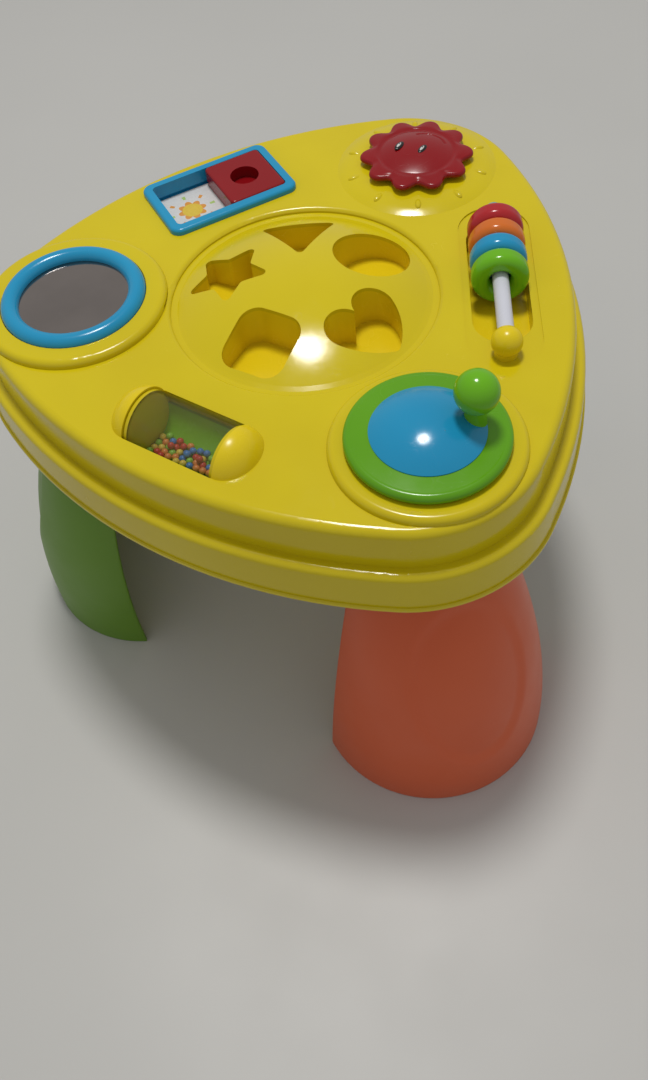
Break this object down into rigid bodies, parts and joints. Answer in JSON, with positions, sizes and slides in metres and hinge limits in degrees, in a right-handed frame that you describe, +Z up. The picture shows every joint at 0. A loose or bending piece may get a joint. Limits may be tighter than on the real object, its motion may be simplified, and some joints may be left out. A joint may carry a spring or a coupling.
{
  "type": "musical activity table",
  "caption": "Three-cornered toddler activity table on half-shell legs, with a sorting dome, sun button, crank, mirror, picture slider, counting rings and a bead drum.",
  "frame": {"origin": "centre of the bounding box at floor level, under the middle of the table", "axes": "+Z up, +Y towards the sun corner at the back, -Y towards the straight side with the bead drum, +X towards the crank"},
  "size_m": [0.4146, 0.3977, 0.3206],
  "materials": {
    "top_yellow": "glossy moulded plastic",
    "leg_orange": "satin moulded plastic",
    "leg_green": "satin moulded plastic",
    "leg_blue": "satin moulded plastic",
    "ring_blue": "glossy moulded plastic",
    "mirror_sheet": "safety mirror sheet",
    "red_plastic": "glossy moulded plastic",
    "eye_black": "printed black",
    "green_plastic": "glossy moulded plastic",
    "blue_plastic": "glossy moulded plastic",
    "orange_plastic": "glossy moulded plastic",
    "card_print": "printed card",
    "rod_white": "glossy moulded plastic",
    "light_blue": "glossy moulded plastic",
    "clear_smoke": "clear tinted plastic",
    "drum_green": "translucent green plastic",
    "bead_red": "glossy bead",
    "bead_orange": "glossy bead",
    "bead_yellow": "glossy bead",
    "bead_green": "glossy bead",
    "bead_blue": "glossy bead",
    "steel": "plated steel",
    "black_plastic": "moulded plastic",
    "board_green": "solder mask",
    "cell_skin": "sleeved cell",
    "grey_plastic": "moulded plastic"
  },
  "bodies": {
    "table": {"top_shell": "top_yellow", "sorting_dome": "top_yellow", "bottom_cover": "top_yellow", "leg_front_right": "leg_orange", "leg_left": "leg_green", "leg_back": "leg_blue", "mirror_frame": "ring_blue", "mirror_plate": "mirror_sheet", "button_spring": "steel", "sun_switch": "black_plastic", "crank_contact": "black_plastic", "slider_frame": "ring_blue", "picture_card": "card_print", "abacus_tray": "top_yellow", "abacus_rod": "rod_white", "rod_end_near": "top_yellow", "rod_end_far": "light_blue", "drum_cradle": "top_yellow", "drum_cheek_left": "top_yellow", "drum_cheek_right": "top_yellow", "battery_box": "grey_plastic", "battery_cells": "cell_skin", "battery_contacts": "steel", "battery_door": "top_yellow", "cover_screws": "steel", "leg_screws": "steel", "speaker": "black_plastic", "circuit_board": "board_green", "board_posts": "top_yellow", "board_parts": "black_plastic", "switch_body": "black_plastic", "door_screw": "steel", "well_square": "top_yellow", "well_heart": "top_yellow", "well_circle": "top_yellow", "well_triangle": "top_yellow", "well_star": "top_yellow", "beads_red": "bead_red", "beads_orange": "bead_orange", "beads_yellow": "bead_yellow", "beads_green": "bead_green", "beads_blue": "bead_blue"},
    "sun": {"sun_button": "red_plastic", "sun_eyes": "eye_black"},
    "crank": {"crank_ring": "green_plastic", "crank_dome": "blue_plastic", "crank_knob": "green_plastic", "crank_axle": "grey_plastic", "crank_cam": "grey_plastic", "crank_screw": "steel"},
    "slider": {"slider_block": "red_plastic"},
    "ring_one": {"ring_red": "red_plastic"},
    "ring_two": {"ring_orange": "orange_plastic"},
    "ring_three": {"ring_blue": "blue_plastic"},
    "ring_four": {"ring_green": "green_plastic"},
    "drum": {"drum_clear_half": "clear_smoke", "drum_green_half": "drum_green", "drum_end_left": "drum_green", "drum_end_right": "drum_green"},
    "switch_knob": {"power_switch": "black_plastic"}
  },
  "joints": [
    {"name": "sun_press", "type": "slide", "parent": "table", "child": "sun", "axis": [0, 0, -1], "range_m": [0, 0.003], "stiffness_N_per_m": 500, "springref_m": -0.004, "deforming": ["button_spring"]},
    {"name": "crank_turn", "type": "hinge", "parent": "table", "child": "crank", "pos_m": [0.12124, -0.098, 0.2736], "axis": [0, 0, 1], "continuous": true},
    {"name": "slider_slide", "type": "slide", "parent": "table", "child": "slider", "axis": [-0.5, -0.866, 0], "range_m": [0, 0.0379]},
    {"name": "ring_one_slide", "type": "slide", "parent": "table", "child": "ring_one", "axis": [0.5, -0.866, 0], "range_m": [0, 0.0083]},
    {"name": "ring_two_slide", "type": "slide", "parent": "ring_one", "child": "ring_two", "axis": [0.5, -0.866, 0], "range_m": [0, 0.0083]},
    {"name": "ring_three_slide", "type": "slide", "parent": "ring_two", "child": "ring_three", "axis": [0.5, -0.866, 0], "range_m": [0, 0.0083]},
    {"name": "ring_four_slide", "type": "slide", "parent": "ring_three", "child": "ring_four", "axis": [0.5, -0.866, 0], "range_m": [0, 0.0083]},
    {"name": "drum_spin", "type": "hinge", "parent": "table", "child": "drum", "pos_m": [0.002, -0.1515, 0.2666], "axis": [1, 0, 0], "continuous": true},
    {"name": "switch_slide", "type": "slide", "parent": "table", "child": "switch_knob", "axis": [1, 0, 0], "range_m": [0, 0.006]}
  ]
}
